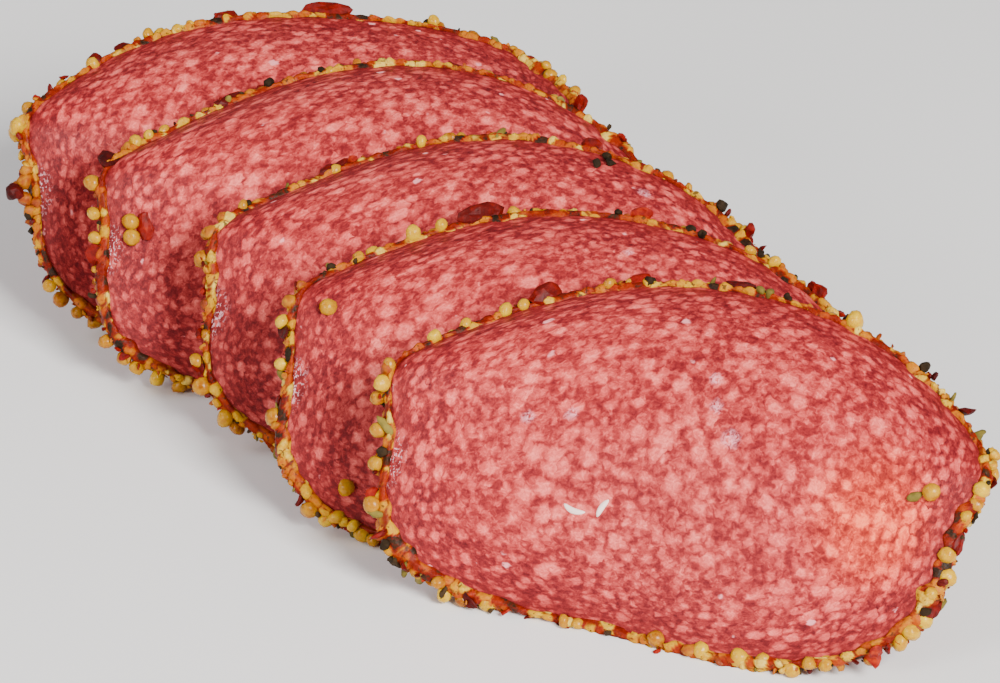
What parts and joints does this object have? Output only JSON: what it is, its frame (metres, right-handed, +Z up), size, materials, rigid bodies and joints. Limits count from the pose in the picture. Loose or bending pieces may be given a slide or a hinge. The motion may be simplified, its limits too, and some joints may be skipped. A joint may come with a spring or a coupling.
{
  "type": "sliced cured sausage",
  "caption": "Overlapping slices of cured sausage, bent over and leaning on each other in cut order, each with a rim of mustard seed, pepper and chilli.",
  "frame": {"origin": "on the table, under the middle of the whole row", "axes": "+Z up, -Y towards the side that the cut faces look to, +X towards the right end of the front slice"},
  "size_m": [0.1286, 0.1264, 0.0353],
  "materials": {
    "cured_meat": "moist cut meat, red lean with pink fat"
  },
  "bodies": {
    "root": {"slice_1": "cured_meat", "slice_2": "cured_meat", "slice_3": "cured_meat", "slice_4": "cured_meat", "slice_5": "cured_meat"}
  },
  "joints": []
}
